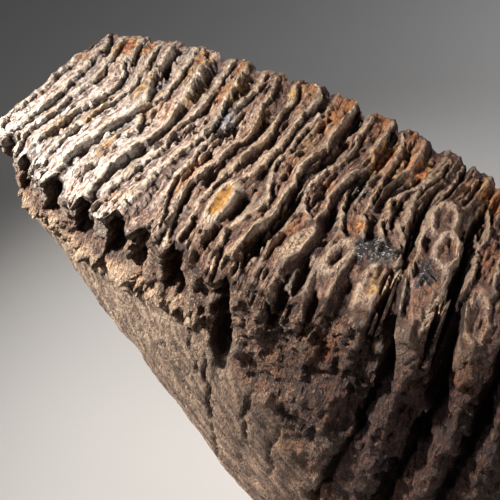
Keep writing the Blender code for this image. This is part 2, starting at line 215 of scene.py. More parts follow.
# ---- flanks ----
# Front edge of the crusted cement over the fibrous root: (depth, x).
FIBRE_EDGE = ((0, 62), (12, 64), (18, 70), (24, 82), (31, 91), (57, 102), (112, 112))
RIM_SLIP = ((10, 0), (45, 2.5), (66, 2.5))  # the rim under the alcoves lies this much lower
COLUMN_PITCH, FIRST_COLUMN_X = 12.6, 115.0  # columns of plates in the near flank
FAR_GROOVE = 2.6  # grooves between the columns of the far flank
# Alcoves under the near edge, between the ends of the front plates: (x, half width, depth).
ALCOVES = ((1.5, 2.2, 4.5), (10.4, 2.3, 5.5), (21.4, 2.7, 6.5), (32.2, 2.4, 6), (42.8, 3, 7),
           (50.4, 2.5, 6.5), (60.4, 2.9, 6))
# Pits in the cement of the near flank: (x, down, half width, depth).
PITS = (
    (8, 10.5, 1.2, 1.6), (15.5, 12, 1.6, 2.2), (19.5, 9.5, 1, 1.6), (26.5, 12.5, 1.8, 2.4),
    (34.5, 10, 1.1, 1.6), (38, 13, 1.7, 2.2), (46.5, 11.5, 1.5, 2), (55.5, 12.5, 1.9, 2.4),
    (63, 10.5, 1.6, 2), (68.5, 7, 1.8, 2), (85.7, 3.5, 1.8, 2.6), (90.6, 9, 2, 2.4), (97.5, 16, 2, 1.8),
    (88.5, 21, 1.8, 1.6), (102, 32, 2.4, 2), (94, 29, 1.6, 1.5), (80.5, 10, 1.3, 1.4),
    (99, 45, 2.2, 1.6), (115, 30, 2, 1.4), (117, 52, 2.4, 1.6), (104, 60, 2.6, 1.8),
)
# Crevices down the near flank: (half width, depth, points as (x, down)).
CREVICES = (
    (2, 5.5, ((73.6, 6), (74.2, 11), (75, 15), (75.6, 18))),
    (0.5, 1.6, ((72.4, 27), (73.6, 32), (74.6, 40))),
    (0.3, 0.9, ((75, 46), (76, 56), (76.5, 60))),
    (0.45, 1.4, ((65.4, 16), (67.4, 20), (70, 24))),
    (1.9, 8, ((109.2, 0), (112, 6), (113.2, 12))),
    (1.5, 4, ((113.4, 14), (110.6, 27), (107.6, 46), (105, 62), (104, 84))),
    (0.45, 1.8, ((84.6, 31), (83.4, 36), (84.6, 39))),
    (0.3, 1, ((92.5, 38), (91, 46), (92, 54))),
    (2.6, 9, ((122.4, 0), (124.8, 8), (125.4, 18), (123, 34), (121, 52), (119.6, 86))),
    (2, 5, ((135, 0), (135.6, 16), (134, 40), (133, 80))),
)

# ---- stains and patches ----
# Rust stains on the worn surface: (x, y, half width, half length, how red).
RUST = (
    (6, 54, 4, 5.5, 0.9), (12, 56.5, 2.2, 4, 0.8), (30, 57, 2.4, 5, 0.8), (43, 57, 1.8, 4, 0.7),
    (9, 12, 2, 8, 0.45), (14.8, 22, 2, 10, 0.45), (21.5, 36, 2, 9, 0.45), (27.6, 30, 1.8, 9, 0.4),
    (25.4, 10, 1.7, 9, 0.45), (36, 40, 1.8, 10, 0.4), (46, 48, 2.2, 9, 0.45), (58, 38, 1.8, 9, 0.4),
    (73, 34, 1.8, 9, 0.4), (30, 48, 1.8, 8, 0.4), (93.5, 35, 4, 7.5, 1), (101.5, 35.5, 4.2, 6.5, 1),
    (122, 36, 4, 6.5, 1), (96, 8.5, 1.6, 2.6, 0.8), (104.2, -5.5, 1.6, 4.5, 0.55), (62, 51, 2, 4, 0.6),
    (118, -22, 4, 6, 0.7),
)
# The same down the near flank: (x, depth, half width, half height, how red).
FLANK_RUST = ((98.5, 10, 5, 6, 0.7), (127, 6, 3, 5, 0.9), (104, 20, 3.5, 6, 0.4),
              (90, 16, 3, 4, 0.3), (96, 40, 4, 7, 0.3))
# Pale enamel down the front edges of two columns: (x, depth, half width, half height, how pale).
PALE_EDGES = ((111, 5, 1.8, 9, 0.85), (124.6, 6, 1.8, 11, 0.85))
# A group of rings that is a little paler: x, y, half width, half length.
RINGS = (114.8, 14.5, 5.5, 12.0)
# Patches of mineral grains: (x, y, half width, half length, how pale).
GRAINS = (
    (50, 32, 2.4, 5.5, 1), (101.5, 3, 7.5, 4.6, 0.6), (91.5, 21, 2.2, 6.5, 0.6), (76, -5, 2.2, 4, 0.6),
    (25.5, 40, 1.2, 4, 0.8), (113.5, 2, 3, 4.5, 0.55),
)


# ---- curves and noise ----
NOISE_CELLS = 256  # the noise repeats after this many cells
NOISE_GAIN = 1.6  # brings it to about -1 to 1


def smooth_curve(at, points):
    """A smooth curve through points (place, value), read at one place or many."""
    place = np.array([p[0] for p in points], float)
    value = np.array([p[1] for p in points], float)
    slope = np.gradient(value, place)
    at = np.clip(np.asarray(at, float), place[0], place[-1])
    left = np.clip(np.searchsorted(place, at, side="right") - 1, 0, len(place) - 2)
    width = place[left + 1] - place[left]
    t = (at - place[left]) / width
    return ((2 * t**3 - 3 * t**2 + 1) * value[left] + (t**3 - 2 * t**2 + t) * width * slope[left]
            + (3 * t**2 - 2 * t**3) * value[left + 1] + (t**3 - t**2) * width * slope[left + 1])


def straight_curve(at, points):
    """The same with straight runs between the points."""
    return np.interp(at, [p[0] for p in points], [p[1] for p in points])


def fade(value, start, end):
    """0 before start, 1 after end, and smooth between."""
    t = np.clip((value - start) / (end - start), 0.0, 1.0)
    return t * t * (3 - 2 * t)


def fall(value, start, end):
    """1 before start, 0 after end, and smooth between."""
    return 1 - fade(value, start, end)


def noise(x, y, z, seed):
    """Gradient noise of unit cell size, roughly -1 to 1; x is an array, and y and z may be numbers."""
    pick = np.random.default_rng(seed)
    order = np.tile(pick.permutation(NOISE_CELLS), 2)
    arrows = pick.normal(size=(NOISE_CELLS, 3))
    arrows /= np.linalg.norm(arrows, axis=1)[:, None]
    cell = [np.floor(c).astype(int) for c in (x, y, z)]
    part = [c - f for c, f in zip((x, y, z), cell)]
    ease = [p * p * p * (p * (p * 6 - 15) + 10) for p in part]
    wrap = NOISE_CELLS - 1
    total = 0.0
    for dx, dy, dz in itertools.product((0, 1), repeat=3):
        column = order[(order[(cell[0] + dx) & wrap] + cell[1] + dy) & wrap]
        arrow = arrows[order[(column + cell[2] + dz) & wrap]]
        away = (part[0] - dx) * arrow[:, 0] + (part[1] - dy) * arrow[:, 1]
        away = away + (part[2] - dz) * arrow[:, 2]
        weight = ((ease[0] if dx else 1 - ease[0]) * (ease[1] if dy else 1 - ease[1])
                  * (ease[2] if dz else 1 - ease[2]))
        total = total + away * weight
    return total * NOISE_GAIN


def octaves(x, y, z, seed, layers, rough, growth):
    """Strength and noise of several layers, each finer and fainter than the last."""
    strength, scale = 1.0, 1.0
    for layer in range(layers):
        yield strength, noise(x * scale, y * scale, z * scale, seed + layer)
        strength *= rough
        scale *= growth


def layered(x, y, z, seed, layers, rough):
    """Several layers of noise added up."""
    return sum(strength * found for strength, found in octaves(x, y, z, seed, layers, rough, 2.03))


def creased(x, y, z, seed, layers, rough):
    """Noise with sharp creases at its low places, 0 at a crease and up to 1."""
    found = list(octaves(x, y, z, seed, layers, rough, 2.1))
    total = sum(strength * np.abs(layer) for strength, layer in found)
    return total / sum(strength for strength, _ in found) * 2.0


def oval(x, y, middle_x, middle_y, half_x, half_y):
    """How far out places lie in an oval: 0 in its middle and 1 on its edge."""
    return np.hypot((x - middle_x) / half_x, (y - middle_y) / half_y)


# ---- lattice rows ----
def ridge_lines(y):
    """x of every row line of the tooth at y: the ridges, then the back of the unworn plates."""
    stations = sorted(range(len(CROSSINGS_Y)), key=lambda i: CROSSINGS_Y[i])
    lines = [smooth_curve(y, [(CROSSINGS_Y[i], ridge[i]) for i in stations]) for ridge in RIDGES]
    last, start = lines[-1], max(RIDGES[-1])
    steps = UNWORN_PLATES * 2
    for step in range(1, steps + 1):
        share = step / steps
        own = last + step * UNWORN_PITCH / 2
        squeezed = start + (LAST_ROW - start) * share
        lines.append(own + (squeezed - own) * share**2)
    return lines


def row_table():
    """For each lattice row, the line before it and how far it is to the next one."""
    middle = [float(line) for line in ridge_lines(np.array(COUNTING_Y))]
    rows = []
    for number in range(len(middle) - 1):
        cells = max(2, round((middle[number + 1] - middle[number]) / CELL))
        rows += [(number, step / cells) for step in range(cells)]
    rows.append((len(middle) - 2, 1.0))
    return np.array([r[0] for r in rows]), np.array([r[1] for r in rows])


def row_x(number, within, y):
    """x at y of the row that lies this far between line number and the next one."""
    lines = ridge_lines(y)
    x = np.zeros_like(y)
    for line in range(len(lines) - 1):
        here = number == line
        x[here] = (lines[line] + (lines[line + 1] - lines[line]) * within)[here]
    return x


# ---- worn surface ----
def crest_share(across, half_width, front, back, bend):
    """Cross-section of an enamel crest: a narrow top, a flaring slope in front and a drop behind.

    Front and back are the widths of the slopes in half widths, and bend hollows the front one.
    """
    beyond = np.maximum(np.abs(across) / half_width - 0.25, 0)
    flare = (1 - np.clip(beyond / front, 0, 1)) ** bend
    return np.where(across < 0, flare, fall(beyond, 0, back))


def follow(at, points):
    """A line of points (x, place): sorted by place, its x at these places, and how far past its ends."""
    places = sorted((p[1], p[0]) for p in points)
    past = np.maximum(0, np.maximum(places[0][0] - at, at - places[-1][0]))
    return places, smooth_curve(at, places), past


def along_crest(x, y, points):
    """How far places lie across the line of a crest, and how far past its ends."""
    places, centre, past = follow(y, points)
    lean = smooth_curve(y + 0.5, places) - smooth_curve(y - 0.5, places)
    return (x - centre) / np.sqrt(1 + lean**2), past


def worn_textures(x, y, row):
    """Layers of roughness of the chewing surface, and where it is bowled, crusty, plain or calm.

    Row is the number of the row line with its fraction. Both ridge and groove run along y, so the
    roughness is drawn out along them.
    """
    number = np.floor(row).astype(int)
    within = row - number
    calm = 1 - 0.75 * fade(x, 80, 90) * fall(y, -11, 0)
    return SimpleNamespace(
        x=x, y=y, row=row, calm=calm,
        in_groove=(number % 2 == 1) & (number < len(RIDGES)),
        bowl=np.clip(4 * within * (1 - within), 0, 1) ** 0.5,
        crusty=fall(y, 4, 24) * fall(x, 70, 84),
        plain=fade(x, 22, 62),
        grain=layered(row * 5.4, y / 8.5, 3.3, 21, 4, 0.66),
        fray=layered(row * 10.0, y / 5.5, 6.1, 27, 2, 0.7) * calm,
        splinter=creased(row * 6.5, y / 9.0, 5.9, 25, 3, 0.65),
        crumb=layered(row * 3.4, y / 4.4, 8.1, 31, 4, 0.68))


def valley_floor(skin):
    """Height of the grooves between plates and of the basins inside them."""
    deep = noise(skin.row * 0.9, skin.y / 9.0, 0.0, 13)
    deeper = 0.55 + 0.45 * fade(skin.x, 25, 80)
    depth = np.where(skin.in_groove, GROOVE_DEPTH, BASIN_DEPTH)
    floor = -depth * skin.bowl * (1 + 0.5 * deep) * deeper * (1 - 0.3 * skin.crusty)
    floor = floor + 0.45 * skin.grain + 1.2 * (skin.splinter - 0.55) * skin.calm
    return floor + 0.42 * skin.fray + 0.30 * skin.crumb


def raise_crests(skin, floor):
    """The crests over the valleys: height, enamel, and the lee slope behind each crest, which gets
    painted shade.
    """
    y, row, plain = skin.y, skin.row, skin.plain
    wave = 0.45 * noise(row * 3.1, y / 3.4, 0.0, 11) + 0.35 * noise(row * 3.1, y / 1.5, 0.0, 12)
    nicks = 0.36 * noise(row * 8.0, y / 1.5, 0.0, 46)
    front, back, bend = 5.6 - 0.4 * plain, 1.0 + 0.6 * plain, 1.15 + 1.1 * plain
    height, enamel, split, lee = floor, 0.0, 0.0, 0.0
    for index, (level, half_width, points) in enumerate(CRESTS):
        across, past = along_crest(skin.x, y, points)
        wide = half_width * (1 + 0.40 * noise(y / 4.0, index * 7.7, 0.0, 41))
        wide = wide * (1 - 0.30 * plain)
        across = across + wave
        away = np.hypot(across, past * 0.8) * np.where(across < 0, -1, 1)
        share = crest_share(away, wide, front, back, bend)
        lift = level + 0.55 * noise(y / 6.0, index * 3.3, 0.0, 42) - 0.35 * skin.crusty
        lift = lift + 0.22 * noise(y / 2.4, index * 3.3, 0.0, 43) + nicks
        height = np.maximum(height, floor + (lift - floor) * share)
        ragged = np.where(away < 0, -1.5 * away, 1.7 * away) / wide
        ragged = ragged + 0.35 * skin.crumb + 0.5 * skin.fray
        enamel = np.maximum(enamel, fall(ragged, 0.5, 1.9))
        ends = fall(past, 0, 2)
        gap = 0.7 + 0.9 * noise(y / 6.0, index * 5.1, 0.0, 45)
        behind = np.exp(-((across - wide * 1.6) / 0.5) ** 2) * ends
        split = np.maximum(split, behind * np.clip(gap, 0.0, 1.3))
        past_top = (away - wide * 1.9) / np.where(away < wide * 1.9, 0.7, 1.3)
        lee = np.maximum(lee, np.exp(-past_top**2) * ends)
    height = height - (SPLIT_DEPTH + 0.5 * skin.crumb) * split
    veins = creased(row * 4.6, y / 10.0, 1.9, 34, 2, 0.5)
    cleft = fall(veins, 0.02, 0.34) * fade(noise(row * 1.7, y / 7.0, 0.0, 38), -0.25, 0.25)
    return height - CLEFT_DEPTH * cleft * (1 - 0.55 * enamel), enamel, lee


def raise_loops(skin, height, enamel):
    """Loops and rings of enamel with a basin in each: height, enamel, dentine and amber.

    The first loop is the amber one: its basin is smooth.
    """
    dentine = np.where(skin.in_groove, 0.0, np.clip(skin.bowl * 1.4, 0, 1)) * (1 - enamel)
    amber = 0.0
    for index, (cx, cy, wide, long, lean, level, basin) in enumerate(LOOPS):
        right, up = skin.x - cx, skin.y - cy
        side = right * math.cos(lean) + up * math.sin(lean)
        end = up * math.cos(lean) - right * math.sin(lean)
        side = side + 0.5 * noise(end / 2.6, side / 3.0 + index * 5, 0.0, 51)
        end = end + 0.5 * noise(side / 2.6, end / 3.0 + index * 5, 0.0, 53)
        reach = np.hypot(side / wide, end / long)
        rim = crest_share(-np.abs(reach - 1) * wide * 1.15, 0.7, 2.2, 1.4, 1.3)
        inside = fall(reach, 0.7, 1.0)
        moat = fall(reach, 1.2, 1.9)
        rugged = 0.45 * skin.grain + 0.6 * (skin.splinter - 0.5) if index else 0.1 * skin.grain
        base = height * (1 - moat) + np.minimum(height, level - 0.8) * moat
        base = base * (1 - inside) + (level - basin + rugged) * inside
        top = level + 0.3 * skin.crumb + 0.3 * noise(side / 2.5, end / 2.5, index, 52)
        height = np.maximum(base, base + (top - base) * rim)
        loop = rim if basin > 0.3 else fall(reach, 0.7, 1.2)
        enamel = np.maximum(enamel * (1 - moat * 0.8), loop)
        dentine = np.maximum(dentine * (1 - moat), inside)
        if index == 0:
            amber = inside
    return height, enamel, dentine, amber


def dig_hollows(skin, height, enamel):
    """Hollows that follow the rows, and mineral grains that fill two of the low places."""
    x, y, row = skin.x, skin.y, skin.row
    for cx, cy, wide, long, depth in HOLLOWS:
        middle = row[np.argmin(np.hypot(x - cx, y - cy))]
        reach = np.hypot((row - middle) * MEAN_ROW / wide, (y - cy) / (1.3 * long))
        reach = reach + 0.3 * skin.crumb + 0.35 * skin.fray + 0.8 * (skin.splinter - 0.4)
        height = height - 0.75 * depth * fall(reach, 0.4, 1.15) * (1 - 0.5 * enamel)
    height = height + 0.20 * noise(row * 9.0, y / 1.6, 0.0, 44) * enamel
    for *place, _ in GRAINS[:2]:
        fill = fall(oval(x, y, *place), 0.3, 1.1)
        height = height + np.maximum(0, -0.6 + 0.5 * skin.crumb - height) * fill
    return height


def unworn_tips(skin):
    """Height of the unworn plates, with their finger-like tips."""
    plates = (skin.row - len(RIDGES) + 1) / 2
    fingers = 0.5 + 0.5 * np.cos((skin.y - FIRST_FINGER_Y) * 2 * np.pi / FINGER_PITCH)
    crown = 0.5 - 0.5 * np.cos(plates * 2 * np.pi)
    return TIP_DROP + TIP_HEIGHT * crown ** 0.6 * (0.72 + 0.28 * fingers) + 0.7 * skin.crumb


def worn_surface(x, y, row):
    """Height, enamel, dentine, amber and lee slopes of the chewing surface."""
    skin = worn_textures(x, y, row)
    height, enamel, lee = raise_crests(skin, valley_floor(skin))
    height, enamel, dentine, amber = raise_loops(skin, height, enamel)
    height = dig_hollows(skin, height, enamel)
    worn = fall(x, *WORN_END)
    height = height * worn + unworn_tips(skin) * (1 - worn)
    enamel = enamel * worn
    return height, enamel, dentine * worn, amber, lee * worn * (1 - 0.6 * enamel)


# ---- flanks ----
def crevice(x, down, half_width, depth, points):
    """Depth of a crevice down a flank, at places (x, down)."""
    places, centre, past = follow(down, points)
    low = places[0][0]
    wander = 1.1 * layered(down / 5.0, low, 0.0, 61, 3, 0.6)
    uneven = 1 + 0.55 * layered(x / 4.0, down / 3.2, low, 65, 2, 0.6)
    reach = np.hypot((x - centre + wander) / (half_width * np.maximum(uneven, 0.3)), past / 5.0)
    reach = reach + 0.3 * layered(x / 1.9, down / 1.9, low, 68, 2, 0.6)
    return depth * fall(reach, 0.2, 1.45)


def near_flank(x, down):
    """How far the near flank lies inside its swell, and its fibre, rim and open cuts."""
    lumps = layered(x / 7.0, down / 9.0, 1.7, 71, 4, 0.55)
    crust = layered(x / 2.4, down / 2.8, 4.4, 75, 3, 0.6)
    knobs = layered(x / 3.6, down / 3.6, 9.4, 78, 4, 0.66)
    strands = layered((x * 0.83 - down * 0.56) / 1.7, (x * 0.56 + down * 0.83) / 14.0, 0.0, 81, 3, 0.6)
    below_rim = down - straight_curve(x, RIM_SLIP)
    fibrous = fall(x - straight_curve(down, FIBRE_EDGE), -3, 5) * fade(below_rim, 9, 13)
    rough = 1 - fibrous

    broken = fade(x, 72, 80) * fall(down, 26, 40)
    relief = -(0.9 + 0.5 * broken) * lumps * rough - 0.2 * lumps * fibrous
    relief = relief - (0.50 * crust + (0.6 + 0.5 * broken) * knobs) * rough
    pillars = np.cos((x - FIRST_COLUMN_X) * 2 * np.pi / COLUMN_PITCH)
    pillars = pillars + 0.45 * layered(x / 1.7, down / 2.2, 12.1, 84, 2, 0.6)
    relief = relief - pillars * fade(x, 98, 110) - 0.35 * strands * fibrous

    alcove_height = (0.62 + 0.38 * fade(down, 0.5, 3.0)) * fall(below_rim, 6.5, 10.5)
    hollow = 0.0
    for middle, wide, depth in ALCOVES:
        wander = 0.9 * noise(down / 3.0, middle, 0.0, 91)
        reach = np.abs(x - middle + wander) / wide + 0.22 * knobs
        hollow = np.maximum(hollow, depth * fall(reach, 0.55, 1.2) * alcove_height)
    ledge = fade(down, 1.5, 3.0) * fall(below_rim, 6.5, 9.5) * fall(x, 66, 74)
    rim = fade(below_rim, 8.0, 10.5) * fall(below_rim, 11.5, 15)
    rim = rim * fade(x, 2, 12) * fall(x, 68, 76)
    relief = relief + hollow + 0.7 * ledge - rim * (0.8 + 2.3 * crust + 1.7 * knobs)

    cut = 0.0
    for half_width, depth, points in CREVICES:
        cut = np.maximum(cut, crevice(x, down, half_width, depth, points))
    for pit_x, pit_down, wide, depth in PITS:
        reach = np.hypot(x - pit_x, down - pit_down) / wide + 0.5 * knobs
        relief = relief + depth * fall(reach, 0.1, 1.5)
    # The last value, from the depth of the alcoves and crevices, sets painted shade in them.
    return relief + cut, fibrous, rim, np.clip(hollow / 14.0 + cut / 5.0, 0, 1)


def far_flank(x, down, row):
    """The same for the far flank: cemented columns of plates over a fibrous root."""
    lumps = layered(x / 8.0, down / 10.0, 6.1, 101, 4, 0.55)
    crust = layered(x / 2.4, down / 2.8, 2.2, 105, 3, 0.6)
    root = fade(down - 0.45 * x, 34, 50) * fall(x, 84, 110) + fade(down, 78, 96) * fade(x, 84, 110)
    turn = (row - 0.5) * np.pi
    wander = 1.05 * noise(x / 9.0, down / 22.0, 0.0, 107)
    grooves = np.clip(-np.cos(turn + wander), 0, 1) ** 3
    relief = FAR_GROOVE * grooves * (1 - root) - 0.9 * lumps - 0.5 * crust * (1 - 0.6 * root)
    return relief - 0.3 * np.cos(turn) * (1 - root), np.clip(root, 0, 1)


# ---- the lattice ----
def deselect_all():
    """Clears the selection, so that the next operation works on its own thing."""
    for thing in bpy.context.selected_objects:
        thing.select_set(False)


def vectors(vertices, field):
    """One vector field of a mesh's vertices as an array."""
    values = np.empty(len(vertices) * 3, np.float32)
    vertices.foreach_get(field, values)
    return values.reshape(-1, 3)


def lattice_block(rows):
    """A closed block of one cell for each step between rows, across and down."""
    deselect_all()
    bpy.ops.mesh.primitive_grid_add(x_subdivisions=rows - 1, y_subdivisions=CELLS_ACROSS, size=1.0,
                                    location=(0, 0, -0.5))
    block = bpy.context.object
    block.name = "tooth_surface"
    bpy.ops.object.transform_apply(location=True, rotation=True, scale=True)
    bpy.ops.object.mode_set(mode="EDIT")
    bpy.ops.mesh.select_all(action="SELECT")
    bpy.ops.mesh.extrude_region_move(TRANSFORM_OT_translate={"value": (0, 0, 1)})
    bpy.ops.object.mode_set(mode="OBJECT")
    mesh = block.data
    level = vectors(mesh.vertices, "co")[:, 2]
    ends = np.empty(len(mesh.edges) * 2, np.int32)
    mesh.edges.foreach_get("vertices", ends)
    upright = np.abs(level[ends[0::2]] - level[ends[1::2]]) > 0.5
    mesh.edges.foreach_set("select", upright)
    mesh.polygons.foreach_set("select", np.zeros(len(mesh.polygons), bool))
    bpy.context.tool_settings.mesh_select_mode = (False, True, False)
    bpy.ops.object.mode_set(mode="EDIT")
    bpy.ops.mesh.subdivide(number_cuts=CELLS_DOWN - 1)
    bpy.ops.object.mode_set(mode="OBJECT")
    return block


def outline_at(x, steps_down):
    """Smooth outline of the tooth at x: depth, drop, height, shoulder and both edges."""
    drop = smooth_curve(x, TOP_DROP)
    height = straight_curve(x, UNDERSIDE) - drop
    step = np.minimum(FINE_STEP, height / CELLS_DOWN)
    share = (steps_down - FINE_ROWS) / (CELLS_DOWN - FINE_ROWS)
    down = np.where(steps_down <= FINE_ROWS, steps_down * step,
                    FINE_ROWS * step + (height - FINE_ROWS * step) * share)
    swell = fade(down, *SWELL_TOP) * (1 - SWELL_LOSS * fade(down, *SWELL_FOOT))
    near = smooth_curve(x, NEAR_EDGE) - smooth_curve(x, NEAR_SWELL) * swell
    far = smooth_curve(x, FAR_EDGE) + smooth_curve(x, FAR_SWELL) * swell
    radius = np.minimum(np.minimum(BOTTOM_ROUND, height * ROUND_OF_HEIGHT), ROUND_OF_WIDTH * (far - near))
    left = np.maximum(0.0, radius - (height - down))
    rounding = radius - np.sqrt(np.maximum(radius**2 - left**2, 0.0))
    shoulder = smooth_curve(x, SHOULDER)
    edge = shoulder * (1 - np.sqrt(1 - (1 - np.minimum(down / shoulder, 1.0)) ** 2)) * EDGE_PULL
    near, far = near + rounding + edge, far - rounding - 0.5 * edge
    return down, drop, height, shoulder, near, far


def place_lattice(mesh, row_line, row_within):
    """Lattice numbers of every vertex, and its place on the smooth outline of the tooth."""
    points = vectors(mesh.vertices, "co")
    row_number = np.rint((points[:, 0] + 0.5) * (len(row_line) - 1)).astype(int)
    column = np.rint((points[:, 1] + 0.5) * CELLS_ACROSS).astype(int)
    steps = np.rint((0.5 - points[:, 2]) * CELLS_DOWN).astype(int)
    number, within = row_line[row_number], row_within[row_number]
    across = column / CELLS_ACROSS
    x = row_x(number, within, np.full(len(number), COUNTING_Y))
    for _ in range(3):
        near, far = outline_at(x, steps)[-2:]
        y = near + (far - near) * across
        x = row_x(number, within, y)
    down, drop, height, shoulder, near, far = outline_at(x, steps)
    return SimpleNamespace(
        rows=len(row_line), row_number=row_number, column=column, steps=steps,
        row=number + within, across=across,
        x=x, y=y, down=down, drop=drop, height=height, shoulder=shoulder, near=near, far=far,
        top=steps == 0, bottom=steps == CELLS_DOWN, near_side=column < CELLS_ACROSS / 2)


def filled(here, values):
    """An array over the whole lattice with these values where here is true, and 0 elsewhere."""
    whole = np.zeros(len(here))
    whole[here] = values
    return whole


def hang_down(at, found):
    """Values of the top, repeated on every vertex below."""
    table = np.zeros((at.rows, CELLS_ACROSS + 1))
    table[at.row_number[at.top], at.column[at.top]] = found
    return table[at.row_number, at.column]


def blurred(table, reach):
    """A table averaged over a square of cells that reaches this far each way."""
    out = table
    for axis in (0, 1):
        pad = [(0, 0), (0, 0)]
        pad[axis] = (reach + 1, reach)
        total = np.cumsum(np.pad(out, pad, mode="edge"), axis=axis)
        count = out.shape[axis]
        upper = np.take(total, np.arange(2 * reach + 1, 2 * reach + 1 + count), axis=axis)
        lower = np.take(total, np.arange(count), axis=axis)
        out = (upper - lower) / (2 * reach + 1)
    return out


def recess(rows, columns, values, shape, reach):
    """How far values on part of the lattice lie below their surroundings."""
    table = np.zeros(shape)
    table[rows, columns] = values
    return (blurred(table, reach) - table)[rows, columns]


# ---- from the lattice to the tooth ----
def root_hollow(x, y):
    """Depth of the pulp's hollows between the broken roots, in the face it stands on."""
    depth = np.zeros_like(x)
    for *place, deep in ROOT_HOLLOWS:
        depth = np.maximum(depth, deep * (1 - oval(x, y, *place) ** 2))
    return depth


def press_flanks(at):
    """Moves y in by the relief of both flanks, and gives the relief and the flanks' masks."""
    near, far = at.near_side, ~at.near_side
    near_relief, fibrous, rim, cut = near_flank(at.x[near], at.down[near])
    far_relief, root = far_flank(at.x[far], at.down[far], at.row[far])
    relief = filled(near, near_relief) + filled(far, far_relief)
    hold = np.where(near, 1 - at.across, at.across)
    at.y = at.y + np.where(near, relief, -relief) * np.clip(hold * 2 - 1, 0, 1) ** 2
    return relief, filled(near, fibrous) + filled(far, root), filled(near, rim), filled(near, cut)


def lower_places(at, surface):
    """z of every vertex, from the chewing surface down to the underside, and the root's foot."""
    x, y, down = at.x, at.y, at.down
    from_near, from_far = y - at.near, at.far - y
    z_top = -at.drop - EDGE_DROP * at.shoulder * fall(from_near, 0, at.shoulder * 1.6)
    z_top = z_top - FAR_STEP * fall(from_far, 0, 3)
    start, end = STANDING_FACE
    standing = fade(x, *start) * fall(x, *end)
    ribs = RIB_HEIGHT * fall(x, *RIB_END) * fade(np.minimum(from_near, from_far), *RIB_INLAND)
    ribs = ribs * (0.5 - 0.5 * np.cos(y * RIB_WAVE))
    rise = np.where(at.bottom, root_hollow(x, y) * standing + ribs, 0.0)
    z_bottom = rise - straight_curve(x, UNDERSIDE)
    at.z = z_bottom + (z_top - z_bottom) * (1 - down / at.height) + surface * fall(down, 0, 11)
    at.x = x - ROOT_FOOT * fade(down, *FOOT_TOP) * fall(x, *FOOT_BACK)


def ragged_patches(across, along, table, ragged, full, gone):
    """The strongest of a table's patches: (place, place, half size, half size, strength)."""
    total = np.zeros_like(across)
    for *place, strength in table:
        reach = oval(across, along, *place) + ragged
        total = np.maximum(total, strength * fall(reach, full, gone))
    return total


def paint_masks(at, enamel, dentine, amber, fibre, rim):
    """All masks but the hollow one, over the whole lattice."""
    x, y, z, down, top = at.x, at.y, at.z, at.down, at.top
    masks = {"enamel": enamel * top, "dentine": dentine * top, "amber": amber * top, "pale": rim * ~top}
    masks["fibre"] = np.where(top, 0.0, np.where((at.row_number == 0) | at.bottom, 1.0, fibre))
    masks["crust"] = np.where(top, 0.0, 1 - masks["fibre"])

    ragged = 0.35 * layered(x / 1.8, y / 1.8, z / 1.8, 231, 2, 0.7)
    pale_edge = ragged_patches(x, down, PALE_EDGES, ragged, 0.3, 1.2) * at.near_side * fall(y, -4, 2)
    # Paler over the left of the worn surface, near the lamp: partly bleaching and partly a painted
    # highlight.
    glare_area = fall(x, 14, 66) * (1 - 0.6 * fade(y, 5, 55)) * fade(z, -8, -2)
    ringed = fall(oval(x, y, *RINGS), 0.7, 1.1)
    masks["bleach"] = np.maximum.reduce([glare_area, 0.5 * ringed * masks["enamel"], pale_edge])
    for name, table in (("rust", RUST), ("grains", GRAINS)):
        masks[name] = ragged_patches(x, y, table, 1.5 * ragged, 0.3, 1.25) * fade(z, -9, -4)
    flank_rust = ragged_patches(x, down, FLANK_RUST, ragged, 0.2, 1.3) * at.near_side * ~top
    masks["rust"] = np.maximum(masks["rust"], flank_rust)
    # Darker and browner down the back of the near flank: painted shade with some soiling, and less of it
    # low on the flank in front of the columns.
    soil = fade(x + 0.3 * y, 70, 104) * fade(-z, 2, 16) * fall(y, 10, 40)
    shade_spared = 1 - 0.9 * fade(down, 20, 42) * fall(x, 102, 112)
    masks["soil"] = soil * shade_spared * (1 - pale_edge)
    return masks


def hollow_mask(at, surface, lee, relief, cut):
    """Where shade is painted: above 0 in low places, lee slopes and cuts, and below 0 on high ones."""
    top = at.top
    hollow = np.zeros(len(at.x))
    for reach, weight in ((5, 1.0), (2, 1.3)):
        hollow[top] += weight * recess(at.row_number[top], at.column[top], surface[top],
                                       (at.rows, CELLS_ACROSS + 1), reach)
    for flank_column in (0, CELLS_ACROSS):
        here = (at.column == flank_column) & ~top
        hollow[here] = recess(at.row_number[here], at.steps[here], -relief[here],
                              (at.rows, CELLS_DOWN + 1), 5)
    on_top = hollow / 1.6 + lee * (0.25 + 0.35 * fade(at.x, 10, 50))
    return np.clip(np.where(top, on_top, hollow / 1.3 + cut), -1, 1)


def roughness_shift(at, masks):
    """How far each vertex moves out along its normal for lumps and grit."""
    x, y, z, top = at.x, at.y, at.z, at.top
    lump = layered(x / 3.1, y / 3.1, z / 3.1, 201, 3, 0.6)
    grit = noise(x / 0.95, y / 0.95, z / 0.95, 211)
    bulge = layered(x / 16.0, y / 16.0, z / 16.0, 221, 2, 0.5)
    rough = 1 - 0.4 * masks["enamel"]
    lumpy = np.where(top, 0.10, 0.42 - 0.32 * masks["fibre"])
    shift = lumpy * lump * rough + np.where(top, 0.10, 0.16) * grit * rough
    shift = shift + np.where(top, 0.3, 0.8) * bulge
    near_base = fall(at.height - at.down, 0, 4) * fade(x, 84, 90)
    shift = shift * (1 - np.where(top | at.bottom, 0.0, near_base))
    return np.where(at.bottom & (x > 88), 0.0, shift)


